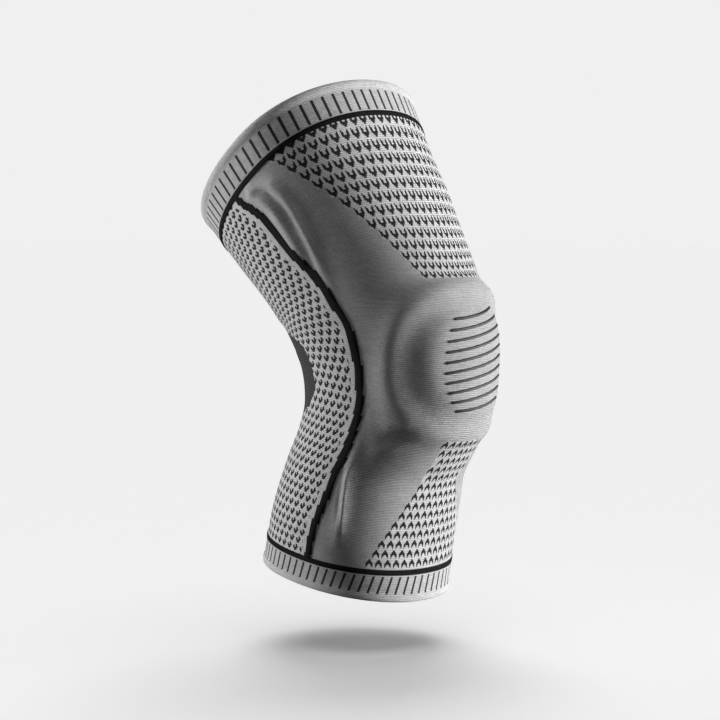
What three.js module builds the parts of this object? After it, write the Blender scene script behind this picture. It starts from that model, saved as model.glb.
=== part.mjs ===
import * as THREE from "three";

// A knitted knee sleeve, in the shape it takes on a bent knee. Millimetres, +Z up.
// The kneecap faces -Y and the wearer's left is +X. The origin is the centre of the knee.
// A place on the sleeve is a station, measured along the leg from the knee's centre (up the
// thigh is positive), and an angle round the leg, 0 at the front and positive to the right.

const { degToRad, lerp, smoothstep, clamp } = THREE.MathUtils;

// Length of the leg's centre from the knee's centre to each rim.
const thighLength = 128.5;
const calfLength = 152;

// Lean of the leg's centre at each rim, in degrees from upright, and the reach of its bend.
const thighLean = 31;
const calfLean = 13;
const bendReach = 71;

// Tilt of the knitted rows at each rim, in degrees from level, and the reach of their fan.
const thighRowTilt = 40;
const calfRowTilt = 10.5;
const fanReach = 62;

// Half the width from side to side.
const thighRimHalfWidth = 74.5;
const kneeHalfWidth = 57.5;
const calfRimHalfWidth = 53;
const sectionSquareness = 2.15;

// Thickness of the knit, and the gap between pieces that meet.
const knitWall = 2.4;
const cuffWall = 2.8;
const pieceGap = 0.36;

// Heights of the cuffs and of the black bands under them.
const thighCuffHeight = 20.5;
const calfCuffHeight = 15.8;
const bandHeight = 2.8;
const bandRise = 0.4;
const cuffRise = 0.5;
const lipHeight = 5;
const lipRounding = 0.7;

// Where the plain knee zone ends, measured along the leg from the knee's centre.
const kneeZoneAbove = 11.5;
const kneeZoneBelow = 52.5;

// The black mesh behind the knee, from its lower to its upper edge.
const meshAbove = 28;
const meshBelow = 58;
const meshWall = 1.6;

// The raised black line down each side.
const trimWidth = 5.2;
const trimRise = 1;

// The kneecap: its centre along the leg, the raised ring round it and the soft pad in the ring.
const kneecapBelow = 16;
const ringHalfWidth = 56;
const ringHalfHeight = 43.5;
const ringDrop = 5;
const ringSquareness = 2.3;
const ringRise = 2.4;
const ringRidgeWidth = 6.5;
const grooveDepth = 1.5;
const grooveInset = 12;
const padWidth = 13;
const padDepth = 1.8;
const padClearance = 0.5;
const padCrown = 0.45;

// The ten grip lines on the kneecap.
const gripLineCount = 10;
const gripLinePitch = 5.9;
const gripLineWidth = 1.1;
const gripLineRise = 0.5;
const gripLineSag = 2;
const gripFieldHalfWidth = 28;
const gripFieldHalfHeight = 37;
const gripFieldDrop = 4;

// The flat spring stay in each side's pocket.
const stayAbove = 96;
const stayBelow = 112;
const stayWidth = 7;
const stayThickness = 1.2;
const stayClearance = 0.5;
const stayTipTaper = 0.45;
const stayTipLength = 2;
const pocketRidgeWidth = 4.2;

// How finely the solids are divided.
const kneeRowStep = 4.6;
const panelRowStep = 9.5;
const sideColumns = 8;
const frontColumns = 12;
const backColumns = 4;
const meshColumns = 8;
const hoopColumns = 44;
const padSegments = 32;
const gripLineSegments = 6;

// A table's rows as objects with named columns.
function table(columns, rows) {
  return rows.map((row) => Object.fromEntries(columns.map((name, i) => [name, row[i]])));
}

// Sections of the leg. The station is a share of the thigh's length above the knee's centre and
// of the calf's length below it. The rest are shares of the half width at that station.
const sections = table(["station", "side", "front", "back"], [
  [-1.0, 1.0, 1.01, 1.14],
  [-0.75, 1.09, 0.87, 1.05],
  [-0.55, 1.03, 0.85, 0.95],
  [-0.42, 0.95, 0.98, 0.88],
  [-0.33, 0.92, 1.07, 0.86],
  [-0.24, 0.93, 1.165, 0.88],
  [-0.12, 0.96, 1.16, 0.92],
  [0.0, 1.0, 1.12, 0.97],
  [0.12, 1.0, 0.95, 0.99],
  [0.24, 0.99, 0.885, 1.01],
  [0.33, 0.99, 0.86, 1.04],
  [0.45, 1.0, 0.845, 1.05],
  [0.7, 1.0, 0.79, 1.1],
  [1.0, 1.0, 0.765, 1.14],
]);

// The side line: its angle, and its width as a share of the full width.
const trimPath = table(["station", "angle", "width"], [
  [-0.88, 88, 0.8],
  [-0.74, 85, 0.85],
  [-0.59, 80, 0.9],
  [-0.45, 78, 1.0],
  [-0.2, 76.5, 1.0],
  [0.0, 78.5, 1.0],
  [0.13, 82.5, 1.0],
  [0.3, 89, 1.0],
  [0.43, 93.5, 1.0],
  [0.65, 97.5, 0.95],
  [0.76, 102.5, 0.8],
  [0.85, 106.5, 0.6],
]);

// Half angles of the patterned front panels, at shares of their height from the knee outwards.
const thighPanelEdge = table(["station", "angle"], [
  [0.0, 29.5],
  [0.18, 44.5],
  [0.4, 58.5],
  [0.69, 70.5],
  [1.0, 81.5],
]);
const calfPanelEdge = table(["station", "angle"], [
  [0.0, 23],
  [0.23, 24.5],
  [0.46, 30],
  [0.69, 39],
  [1.0, 53],
]);

// Half angle of the mesh behind the knee, at shares of its height from the bottom.
const meshEdge = table(["station", "angle"], [
  [0.0, 40],
  [0.08, 53],
  [0.17, 64],
  [0.3, 71],
  [0.58, 67],
  [0.86, 48],
  [1.0, 32],
]);

// Ridges of the stay pockets: their stations as in the sections, and their rise in millimetres.
const upperPocketRear = table(["station", "angle", "rise"], [
  [0.3, 88.5, 0],
  [0.39, 90, 1.2],
  [0.5, 90, 1.8],
  [0.61, 90.5, 2.2],
  [0.69, 92.5, 2.4],
  [0.77, 95.5, 2.2],
  [0.81, 96, 0],
]);
const upperPocketFront = table(["station", "angle", "rise"], [
  [0.12, 81, 0],
  [0.24, 81, 1.2],
  [0.43, 81.5, 1.9],
  [0.57, 80.3, 2.2],
  [0.65, 80.5, 2.2],
  [0.71, 83, 1.8],
  [0.77, 86, 0],
]);
const lowerPocket = table(["station", "angle", "rise"], [
  [-0.78, 66.5, 0],
  [-0.74, 66.5, 1.8],
  [-0.69, 66.5, 2],
  [-0.58, 68.5, 1.8],
  [-0.47, 71, 1.4],
  [-0.37, 73.5, 0.6],
  [-0.3, 74, 0],
]);

// The path of the stay.
const stayPath = table(["station", "angle"], [
  [-0.74, 71],
  [-0.6, 71.5],
  [-0.4, 74],
  [-0.2, 77],
  [0.1, 81],
  [0.3, 84.5],
  [0.5, 86.5],
  [0.75, 91],
]);

// A smooth curve through one column of a table that doesn't overshoot between rows.
function smoothColumn(rows, name) {
  const at = rows.map((row) => row.station);
  const value = rows.map((row) => row[name]);
  const last = at.length - 1;
  const slopes = [];
  for (let i = 0; i < last; i += 1) slopes.push((value[i + 1] - value[i]) / (at[i + 1] - at[i]));
  const tangents = value.map((_, i) => {
    if (i === 0) return slopes[0];
    if (i === last) return slopes[last - 1];
    if (slopes[i - 1] * slopes[i] <= 0) return 0;
    const before = at[i] - at[i - 1];
    const after = at[i + 1] - at[i];
    const near = 2 * after + before;
    const far = after + 2 * before;
    return (near + far) / (near / slopes[i - 1] + far / slopes[i]);
  });
  return (station) => {
    const t = clamp(station, at[0], at[last]);
    let i = 0;
    while (i < last - 1 && t > at[i + 1]) i += 1;
    const span = at[i + 1] - at[i];
    const u = (t - at[i]) / span;
    const rise = u * u * (3 - 2 * u);
    return (
      lerp(value[i], value[i + 1], rise) +
      span * u * (1 - u) * ((1 - u) * tangents[i] - u * tangents[i + 1])
    );
  };
}

const sideShare = smoothColumn(sections, "side");
const frontShare = smoothColumn(sections, "front");
const backShare = smoothColumn(sections, "back");

// A station in millimetres as a share of the thigh's or the calf's length.
function shareOf(station) {
  return station < 0 ? station / calfLength : station / thighLength;
}

// The angle, in radians, of a line that turns from its calf value to its thigh value at the knee.
function turnAt(station, calfAngle, thighAngle, reach) {
  return degToRad(lerp(-calfAngle, thighAngle, smoothstep(station, -reach, reach)));
}

// Points along the leg's centre, worked out once in short steps from the knee's centre. They run
// on a little past each rim.
const centreStep = 0.5;
const centreSpare = 4;
function centrePoints(direction, length) {
  const points = [new THREE.Vector2(0, 0)];
  const count = Math.ceil(length / centreStep) + centreSpare;
  for (let i = 0; i < count; i += 1) {
    const middle = direction * (i + 0.5) * centreStep;
    const lean = turnAt(middle, calfLean, thighLean, bendReach);
    const step = new THREE.Vector2(Math.sin(lean), Math.cos(lean));
    points.push(points[i].clone().addScaledVector(step, direction * centreStep));
  }
  return points;
}
const thighCentre = centrePoints(1, thighLength);
const calfCentre = centrePoints(-1, calfLength);

// The leg's centre at a station, as its Y and Z.
function centreAt(station) {
  const points = station < 0 ? calfCentre : thighCentre;
  const steps = Math.abs(station) / centreStep;
  const i = Math.min(Math.floor(steps), points.length - 2);
  return points[i].clone().lerp(points[i + 1], steps - i);
}

// The smooth skin of the leg, without any relief.
function surfacePoint(station, angle) {
  const share = shareOf(station);
  const rimHalfWidth = station < 0 ? calfRimHalfWidth : thighRimHalfWidth;
  const half = lerp(kneeHalfWidth, rimHalfWidth, Math.abs(share));
  const bend = (value) => Math.sign(value) * Math.abs(value) ** (2 / sectionSquareness);
  const across = bend(Math.sin(degToRad(angle))) * half * sideShare(share);
  const facing = bend(Math.cos(degToRad(angle)));
  const forward = facing * half * (facing > 0 ? frontShare(share) : backShare(share));
  const tilt = turnAt(station, calfRowTilt, thighRowTilt, fanReach);
  const centre = centreAt(station);
  return new THREE.Vector3(
    -across,
    centre.x - forward * Math.cos(tilt),
    centre.y + forward * Math.sin(tilt),
  );
}

// The directions up the leg, round it and out of it, each per millimetre or per degree.
function skinFrame(station, angle) {
  const upward = surfacePoint(station + 1, angle).sub(surfacePoint(station - 1, angle));
  upward.multiplyScalar(0.5);
  const around = surfacePoint(station, angle + 1).sub(surfacePoint(station, angle - 1));
  around.multiplyScalar(0.5);
  const outward = new THREE.Vector3().crossVectors(upward, around).normalize();
  return { upward, around, outward };
}

// The degrees round the leg that a length takes up at a place.
function degreesFor(length, station, angle) {
  return length / skinFrame(station, angle).around.length();
}

// The degrees along a row that keep a clearance square to a border, which may run at a slant.
function degreesClear(clearance, borderAngle, station) {
  const above = surfacePoint(station + 1, borderAngle(station + 1));
  const below = surfacePoint(station - 1, borderAngle(station - 1));
  const border = above.sub(below).normalize();
  const around = skinFrame(station, borderAngle(station)).around;
  return clearance / border.cross(around).length();
}

const trimAngleAt = smoothColumn(trimPath, "angle");
const trimWidthAt = smoothColumn(trimPath, "width");

// The side line's middle, and one of its edges moved out by a clearance, as angles.
function trimAngle(station) {
  return trimAngleAt(shareOf(station));
}
function trimEdge(station, side, clearance) {
  const half = (trimWidth * trimWidthAt(shareOf(station))) / 2 + clearance;
  return trimAngle(station) + side * degreesClear(half, trimAngle, station);
}

// The length round the leg from the front to a place, along its row.
const arcSteps = 8;
function arcFromFront(station, angle) {
  let length = 0;
  let previous = surfacePoint(station, 0);
  for (let k = 1; k <= arcSteps; k += 1) {
    const next = surfacePoint(station, (angle * k) / arcSteps);
    length += next.distanceTo(previous);
    previous = next;
  }
  return Math.sign(angle) * length;
}

// Where a place lies from the kneecap's centre: round the leg to the right, and up its front.
const kneecapStation = -kneecapBelow;
const kneecapCentre = surfacePoint(kneecapStation, 0);
const kneecapTilt = turnAt(kneecapStation, calfRowTilt, thighRowTilt, fanReach);
const kneecapUp = new THREE.Vector3(0, Math.sin(kneecapTilt), Math.cos(kneecapTilt));

function kneecapPlace(station, angle) {
  const up = surfacePoint(station, angle).sub(kneecapCentre).dot(kneecapUp);
  return { across: arcFromFront(station, angle), up };
}

// The station and angle of a place that is given from the kneecap's centre.
const placeRounds = 12;
function fromKneecap(across, up) {
  let station = kneecapStation + up / 2;
  let angle = across;
  for (let round = 0; round < placeRounds; round += 1) {
    const here = kneecapPlace(station, angle);
    const higher = kneecapPlace(station + 1, angle);
    const further = kneecapPlace(station, angle + 1);
    const acrossByStation = higher.across - here.across;
    const upByStation = higher.up - here.up;
    const acrossByAngle = further.across - here.across;
    const upByAngle = further.up - here.up;
    const determinant = acrossByAngle * upByStation - acrossByStation * upByAngle;
    const acrossLeft = across - here.across;
    const upLeft = up - here.up;
    angle += (acrossLeft * upByStation - upLeft * acrossByStation) / determinant;
    station += (upLeft * acrossByAngle - acrossLeft * upByAngle) / determinant;
  }
  return [station, angle];
}

// How far a place lies outside the ring's crest, in millimetres.
function beyondRing(across, up) {
  const wide = Math.abs(across / ringHalfWidth) ** ringSquareness;
  const high = Math.abs((up + ringDrop) / ringHalfHeight) ** ringSquareness;
  const size = (wide + high) ** (1 / ringSquareness);
  return (size - 1) * Math.min(ringHalfWidth, ringHalfHeight);
}

// A smooth ridge: 1 on its line and close to 0 at twice its width from it.
function ridge(distance, width) {
  return Math.exp(-((distance / width) ** 2));
}

// The height of the pockets' ridges over the skin.
const pocketRidges = [upperPocketRear, upperPocketFront, lowerPocket].map((rows) => ({
  angleAt: smoothColumn(rows, "angle"),
  riseAt: smoothColumn(rows, "rise"),
}));
function pocketRelief(station, angle) {
  const share = shareOf(station);
  return pocketRidges.reduce((height, pocket) => {
    const line = pocket.angleAt(share);
    const away = (Math.abs(angle) - line) / degreesFor(1, station, line);
    return Math.max(height, pocket.riseAt(share) * ridge(away, pocketRidgeWidth));
  }, 0);
}

// Everything that stands out of the skin or dips into it.
const reliefEnd = 125;
function relief(station, angle) {
  const turned = angle > 180 ? angle - 360 : angle;
  if (Math.abs(turned) > reliefEnd) return 0;
  const { across, up } = kneecapPlace(station, turned);
  const beyond = beyondRing(across, up);
  const ring = ringRise * ridge(beyond, ringRidgeWidth);
  const groove = grooveDepth * ridge(beyond + grooveInset, ringRidgeWidth);
  return pocketRelief(station, turned) + ring - groove;
}

// A place on the sleeve, at a height over the knit's outer face.
function skinPoint(station, angle, height) {
  const outward = skinFrame(station, angle).outward;
  return surfacePoint(station, angle).addScaledVector(outward, relief(station, angle) + height);
}

// A closed solid that follows the skin. Rows go up the leg and columns to the right. place gives
// the station and angle of a corner, top and bottom its heights, and filled leaves cells out.
function skinSolid({ rows, columns, wraps = false, place, top, bottom, filled = () => true }) {
  const corners = wraps ? columns : columns + 1;
  const positions = [];
  for (const height of [top, bottom]) {
    for (let i = 0; i <= rows; i += 1) {
      for (let j = 0; j < corners; j += 1) {
        const [station, angle] = place(i, j);
        positions.push(...skinPoint(station, angle, height(i, j)).toArray());
      }
    }
  }
  const outer = (i, j) => i * corners + (j % corners);
  const inner = (i, j) => (rows + 1) * corners + outer(i, j);
  const isFilled = (i, j) => {
    if (i < 0 || i >= rows) return false;
    if (!wraps && (j < 0 || j >= columns)) return false;
    return filled(i, (j + columns) % columns);
  };
  const triangles = [];
  const quad = (a, b, c, d) => triangles.push(a, b, c, a, c, d);
  for (let i = 0; i < rows; i += 1) {
    for (let j = 0; j < columns; j += 1) {
      if (!isFilled(i, j)) continue;
      const loop = [[i, j], [i + 1, j], [i + 1, j + 1], [i, j + 1]];
      const neighbours = [[i, j - 1], [i + 1, j], [i, j + 1], [i - 1, j]];
      quad(...loop.map((corner) => outer(...corner)));
      quad(...loop.map((corner) => inner(...corner)).reverse());
      neighbours.forEach((neighbour, side) => {
        if (isFilled(...neighbour)) return;
        const from = loop[side];
        const to = loop[(side + 1) % loop.length];
        quad(outer(...to), outer(...from), inner(...from), inner(...to));
      });
    }
  }
  const geometry = new THREE.BufferGeometry();
  geometry.setAttribute("position", new THREE.Float32BufferAttribute(positions, 3));
  geometry.setIndex(triangles);
  geometry.computeVertexNormals();
  return geometry;
}

// The yarns and what is sewn in with them.
const paleKnit = { color: 0xb4b4b6, roughness: 0.9, metalness: 0 };
const plainKnit = { color: 0xa2a3a6, roughness: 0.88, metalness: 0 };
const patternKnit = { color: 0x77787b, roughness: 0.9, metalness: 0 };
const blackKnit = { color: 0x1a1a1c, roughness: 0.85, metalness: 0 };
const blackMesh = { color: 0x222224, roughness: 0.8, metalness: 0 };
const softGel = { color: 0x8f9092, roughness: 0.5, metalness: 0 };
const springSteel = { color: 0x9a9ca0, roughness: 0.35, metalness: 1 };

const sleeve = new THREE.Group();
sleeve.name = "knee_sleeve";

function addPiece(name, geometry, finish) {
  const mesh = new THREE.Mesh(geometry, new THREE.MeshStandardMaterial(finish));
  mesh.name = name;
  sleeve.add(mesh);
}

// Where the panels end at the black bands, and the rows that all the panels share. A border
// between two panels on one row is a pair of rows, one for each panel, a gap apart.
const panelsTop = thighLength - thighCuffHeight - bandHeight - 2 * pieceGap;
const panelsBottom = -(calfLength - calfCuffHeight - bandHeight - 2 * pieceGap);
const halfGap = pieceGap / 2;
const borders = [-meshBelow, -kneeZoneBelow, kneeZoneAbove, meshAbove];

function sharedRows() {
  const edges = [panelsBottom, panelsTop];
  for (const border of borders) edges.push(border - halfGap, border + halfGap);
  edges.sort((a, b) => a - b);
  const rows = [edges[0]];
  for (let i = 1; i < edges.length; i += 1) {
    const middle = (edges[i - 1] + edges[i]) / 2;
    const atKnee = middle > -kneeZoneBelow && middle < kneeZoneAbove;
    const length = edges[i] - edges[i - 1];
    const steps = Math.ceil(length / (atKnee ? kneeRowStep : panelRowStep));
    for (let k = 1; k <= steps; k += 1) rows.push(edges[i - 1] + (length * k) / steps);
  }
  return rows;
}
const rowStations = sharedRows();

// The rows between two stations.
function rowsBetween(low, high) {
  const slack = pieceGap / 10;
  return rowStations.filter((station) => station > low - slack && station < high + slack);
}

const thighPanelAngleAt = smoothColumn(thighPanelEdge, "angle");
const calfPanelAngleAt = smoothColumn(calfPanelEdge, "angle");

// The half angle of the front panels, and between them of the kneecap's columns.
function frontHalfAngle(station) {
  if (station > kneeZoneAbove) {
    return thighPanelAngleAt((station - kneeZoneAbove) / (panelsTop - kneeZoneAbove));
  }
  if (station < -kneeZoneBelow) {
    return calfPanelAngleAt((station + kneeZoneBelow) / (panelsBottom + kneeZoneBelow));
  }
  const share = (station + kneeZoneBelow) / (kneeZoneAbove + kneeZoneBelow);
  return lerp(calfPanelAngleAt(0), thighPanelAngleAt(0), share);
}

const meshAngleAt = smoothColumn(meshEdge, "angle");

// The angle at which the mesh behind the knee starts.
function meshStartAngle(station) {
  return 180 - meshAngleAt((station + meshBelow) / (meshAbove + meshBelow));
}

// Angles that divide several spans, each in its own number of columns.
function dividedAngles(limits, counts) {
  const angles = [limits[0]];
  counts.forEach((count, span) => {
    for (let k = 1; k <= count; k += 1) {
      angles.push(lerp(limits[span], limits[span + 1], k / count));
    }
  });
  return angles;
}

// A panel of knit on the shared rows, with its columns worked out for each row.
function panel({ stations, anglesAt, filledAt = () => true, wall = knitWall }) {
  const grid = stations.map(anglesAt);
  return skinSolid({
    rows: stations.length - 1,
    columns: grid[0].length - 1,
    place: (i, j) => [stations[i], grid[i][j]],
    filled: (i, j) => filledAt((stations[i] + stations[i + 1]) / 2, j),
    top: () => 0,
    bottom: () => -wall,
  });
}

// The plain knee panel: the kneecap and both sides in one piece, round the patterned panels.
const frontStart = sideColumns;
const frontEnd = sideColumns + frontColumns;
addPiece(
  "knee_panel",
  panel({
    stations: rowStations,
    anglesAt: (station) => {
      const side = trimEdge(station, -1, pieceGap);
      const front = frontHalfAngle(station);
      const counts = [sideColumns, frontColumns, sideColumns];
      return dividedAngles([-side, -front, front, side], counts);
    },
    filledAt: (station, j) => {
      const atKnee = station > -kneeZoneBelow + halfGap && station < kneeZoneAbove - halfGap;
      return atKnee || j < frontStart || j >= frontEnd;
    },
  }),
  plainKnit,
);

// The two patterned panels, over the thigh and over the shin.
function frontPanel(stations) {
  return panel({
    stations,
    anglesAt: (station) => {
      const half = frontHalfAngle(station) - degreesClear(pieceGap, frontHalfAngle, station);
      return dividedAngles([-half, half], [frontColumns]);
    },
  });
}
addPiece(
  "thigh_front_panel",
  frontPanel(rowsBetween(kneeZoneAbove + halfGap, panelsTop)),
  patternKnit,
);
addPiece(
  "calf_front_panel",
  frontPanel(rowsBetween(panelsBottom, -kneeZoneBelow - halfGap)),
  patternKnit,
);

// The back panel runs round the back from side line to side line, open behind the knee.
const meshStart = backColumns;
const meshEnd = backColumns + meshColumns;
addPiece(
  "back_panel",
  panel({
    stations: rowStations,
    anglesAt: (station) => {
      const side = trimEdge(station, 1, pieceGap);
      const mesh = meshStartAngle(station);
      const counts = [backColumns, meshColumns, backColumns];
      return dividedAngles([side, mesh, 360 - mesh, 360 - side], counts);
    },
    filledAt: (station, j) => {
      const atMesh = station > -meshBelow - halfGap && station < meshAbove + halfGap;
      return !atMesh || j < meshStart || j >= meshEnd;
    },
  }),
  paleKnit,
);

// The thin black mesh in the opening of the back panel.
addPiece(
  "popliteal_panel",
  panel({
    stations: rowsBetween(-meshBelow + halfGap, meshAbove - halfGap),
    anglesAt: (station) => {
      const start = meshStartAngle(station) + degreesClear(pieceGap, meshStartAngle, station);
      return dividedAngles([start, 360 - start], [meshColumns]);
    },
    wall: meshWall,
  }),
  blackMesh,
);

// The raised black line down each side.
function sideTrim(side) {
  return skinSolid({
    rows: rowStations.length - 1,
    columns: 1,
    place: (i, j) => {
      const station = rowStations[i];
      const edge = j === 0 ? -side : side;
      return [station, side * trimEdge(station, edge, 0)];
    },
    top: () => trimRise,
    bottom: () => -knitWall,
  });
}
addPiece("side_trim_right", sideTrim(1), blackKnit);
addPiece("side_trim_left", sideTrim(-1), blackKnit);

// A hoop round the leg. The profile's rows go up the leg: a station and the two heights there.
function hoop(profile) {
  return skinSolid({
    rows: profile.length - 1,
    columns: hoopColumns,
    wraps: true,
    place: (i, j) => [profile[i].station, (360 * j) / hoopColumns],
    top: (i) => profile[i].top,
    bottom: (i) => profile[i].bottom,
  });
}

// A black band, from its edge beside the panels to its edge beside the cuff.
function band(panelsEdge, direction) {
  const near = panelsEdge + direction * pieceGap;
  const far = near + direction * bandHeight;
  const profile = table(["station", "top", "bottom"], [
    [Math.min(near, far), bandRise, -knitWall],
    [Math.max(near, far), bandRise, -knitWall],
  ]);
  return hoop(profile);
}
addPiece("thigh_trim_band", band(panelsTop, 1), blackKnit);
addPiece("calf_trim_band", band(panelsBottom, -1), blackKnit);

// A cuff: ribbed knit up to the plain lip, whose edge is rounded on both faces.
function cuff(rim, height) {
  const outward = Math.sign(rim);
  const start = rim - outward * height;
  const lip = rim - outward * lipHeight;
  const turn = rim - outward * lipRounding;
  const inside = cuffRise - cuffWall;
  const profile = table(["station", "top", "bottom"], [
    [start, 0, inside],
    [lip, cuffRise, inside],
    [turn, cuffRise, inside],
    [rim, cuffRise - lipRounding, inside + lipRounding],
  ]);
  return hoop(outward > 0 ? profile : profile.reverse());
}
addPiece("thigh_cuff", cuff(thighLength, thighCuffHeight), paleKnit);
addPiece("calf_cuff", cuff(-calfLength, calfCuffHeight), paleKnit);

// The gel pad: a flat ring behind the raised ring, thickest along the middle of its width.
const padShares = [-1, -0.45, 0.45, 1];
function padPlace(i, j) {
  const turn = (-2 * Math.PI * j) / padSegments;
  const roundTo = (value) => Math.sign(value) * Math.abs(value) ** (2 / ringSquareness);
  const out = (padShares[i] * padWidth) / 2;
  const across = (ringHalfWidth + out) * roundTo(Math.cos(turn));
  const up = (ringHalfHeight + out) * roundTo(Math.sin(turn)) - ringDrop;
  return fromKneecap(across, up);
}
addPiece(
  "patella_pad",
  skinSolid({
    rows: padShares.length - 1,
    columns: padSegments,
    wraps: true,
    place: padPlace,
    top: (i, j) => {
      const raised = relief(...padPlace(i, j));
      return -knitWall - padClearance - Math.max(raised, 0) * padCrown;
    },
    bottom: (i, j) => -knitWall - padDepth - relief(...padPlace(i, j)),
  }),
  softGel,
);

// A spring stay: a flat strip with narrowed ends, inside the wall of its pocket.
const stayAngleAt = smoothColumn(stayPath, "angle");
function sideStay(side) {
  const low = -stayBelow + stayTipLength;
  const high = stayAbove - stayTipLength;
  const stations = [-stayBelow, ...rowsBetween(low, high), stayAbove];
  const last = stations.length - 1;
  const stayPlace = (i, j) => {
    const station = stations[i];
    const middle = stayAngleAt(shareOf(station));
    const taper = i === 0 || i === last ? stayTipTaper : 1;
    const half = degreesFor((stayWidth * taper) / 2, station, middle);
    const edge = j === 0 ? -side : side;
    return [station, side * (middle + edge * half)];
  };
  const underWall = (i, j) => -knitWall - stayClearance - relief(...stayPlace(i, j));
  return skinSolid({
    rows: last,
    columns: 1,
    place: stayPlace,
    top: underWall,
    bottom: (i, j) => underWall(i, j) - stayThickness,
  });
}
addPiece("side_stay_right", sideStay(1), springSteel);
addPiece("side_stay_left", sideStay(-1), springSteel);

// The grip lines: shallow arcs across the kneecap that fill an oval.
function gripLine(number) {
  const level = ((gripLineCount + 1) / 2 - number) * gripLinePitch;
  const width = gripFieldHalfWidth * Math.sqrt(1 - (level / gripFieldHalfHeight) ** 2);
  return skinSolid({
    rows: 1,
    columns: gripLineSegments,
    place: (i, j) => {
      const share = (2 * j) / gripLineSegments - 1;
      const sag = gripLineSag * (1 - share ** 2);
      const edge = (i - 0.5) * gripLineWidth;
      return fromKneecap(share * width, level - gripFieldDrop - sag + edge);
    },
    top: () => pieceGap + gripLineRise,
    bottom: () => pieceGap,
  });
}
for (let number = 1; number <= gripLineCount; number += 1) {
  addPiece("knee_line_" + number, gripLine(number), blackKnit);
}

export default sleeve;
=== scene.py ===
import math

import bmesh
import bpy
import numpy as np
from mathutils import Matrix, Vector


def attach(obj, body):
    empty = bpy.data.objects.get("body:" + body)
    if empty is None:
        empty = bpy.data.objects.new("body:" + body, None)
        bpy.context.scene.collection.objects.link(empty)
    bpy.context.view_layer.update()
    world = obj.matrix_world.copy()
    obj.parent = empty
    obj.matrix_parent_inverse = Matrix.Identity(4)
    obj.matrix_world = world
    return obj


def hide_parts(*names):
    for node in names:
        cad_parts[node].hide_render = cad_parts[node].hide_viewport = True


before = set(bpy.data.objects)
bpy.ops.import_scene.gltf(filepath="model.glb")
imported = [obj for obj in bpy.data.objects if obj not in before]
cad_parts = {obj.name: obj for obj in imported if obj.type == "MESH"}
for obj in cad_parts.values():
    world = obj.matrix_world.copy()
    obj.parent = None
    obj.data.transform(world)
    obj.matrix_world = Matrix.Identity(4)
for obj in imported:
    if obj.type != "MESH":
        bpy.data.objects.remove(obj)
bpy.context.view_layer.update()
scene = bpy.context.scene

# The plain knee panel: the front and both sides of the sleeve in one piece of grey nylon and
# elastane knit, raised in a ring round the kneecap and over the stays. The whole sleeve is one
# knitted tube, so its shape and its stitches, counted in wales and courses, are set here.
thigh_length = 0.1285
calf_length = 0.152
thigh_lean = 31
calf_lean = 13
bend_reach = 0.071
thigh_row_tilt = 40
calf_row_tilt = 10.5
fan_reach = 0.062
thigh_rim_half_width = 0.0745
knee_half_width = 0.0575
calf_rim_half_width = 0.053
section_squareness = 2.15

# Sections: the station as a share of the thigh's or the calf's length, then the side, front
# and back as shares of the half width there.
sections = [
    [-1.0, 1.0, 1.01, 1.14],
    [-0.75, 1.09, 0.87, 1.05],
    [-0.55, 1.03, 0.85, 0.95],
    [-0.42, 0.95, 0.98, 0.88],
    [-0.33, 0.92, 1.07, 0.86],
    [-0.24, 0.93, 1.165, 0.88],
    [-0.12, 0.96, 1.16, 0.92],
    [0.0, 1.0, 1.12, 0.97],
    [0.12, 1.0, 0.95, 0.99],
    [0.24, 0.99, 0.885, 1.01],
    [0.33, 0.99, 0.86, 1.04],
    [0.45, 1.0, 0.845, 1.05],
    [0.7, 1.0, 0.79, 1.1],
    [1.0, 1.0, 0.765, 1.14],
]


def smooth_curve(rows, column=1):
    """A curve through one column of a table that doesn't overshoot between its rows."""
    at, value = np.array(rows)[:, [0, column]].T
    span = np.diff(at)
    slope = np.diff(value) / span
    before, after = slope[:-1], slope[1:]
    near = 2 * span[1:] + span[:-1]
    far = span[1:] + 2 * span[:-1]
    same_way = before * after > 0
    safe_before = np.where(same_way, before, 1)
    safe_after = np.where(same_way, after, 1)
    inner = np.where(same_way, (near + far) / (near / safe_before + far / safe_after), 0)
    tangent = np.concatenate([slope[:1], inner, slope[-1:]])

    def curve(station):
        t = np.clip(station, at[0], at[-1])
        i = np.clip(np.searchsorted(at, t, side="right") - 1, 0, len(span) - 1)
        u = (t - at[i]) / span[i]
        rise = u * u * (3 - 2 * u)
        lean = (1 - u) * tangent[i] - u * tangent[i + 1]
        return value[i] + (value[i + 1] - value[i]) * rise + span[i] * u * (1 - u) * lean

    return curve


side_share = smooth_curve(sections)
front_share = smooth_curve(sections, 2)
back_share = smooth_curve(sections, 3)


def share_of(station):
    return np.where(station < 0, station / calf_length, station / thigh_length)


def smooth_step(value, low, high):
    t = np.clip((value - low) / (high - low), 0, 1)
    return t * t * (3 - 2 * t)


def turn_at(station, calf_angle, thigh_angle, reach):
    turned = (calf_angle + thigh_angle) * smooth_step(station, -reach, reach)
    return np.radians(turned - calf_angle)


centre_step = 0.0005
centre_stations = np.arange(-0.16, 0.14, centre_step)
centre_lean = turn_at(centre_stations + centre_step / 2, calf_lean, thigh_lean, bend_reach)
centre_y = np.concatenate([[0], np.cumsum(np.sin(centre_lean))[:-1]]) * centre_step
centre_z = np.concatenate([[0], np.cumsum(np.cos(centre_lean))[:-1]]) * centre_step
centre_y -= np.interp(0, centre_stations, centre_y)
centre_z -= np.interp(0, centre_stations, centre_z)


def squared_off(value, squareness):
    """A circle's sine or cosine, moved out towards a square's corners."""
    return np.sign(value) * np.abs(value) ** (2 / squareness)


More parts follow.
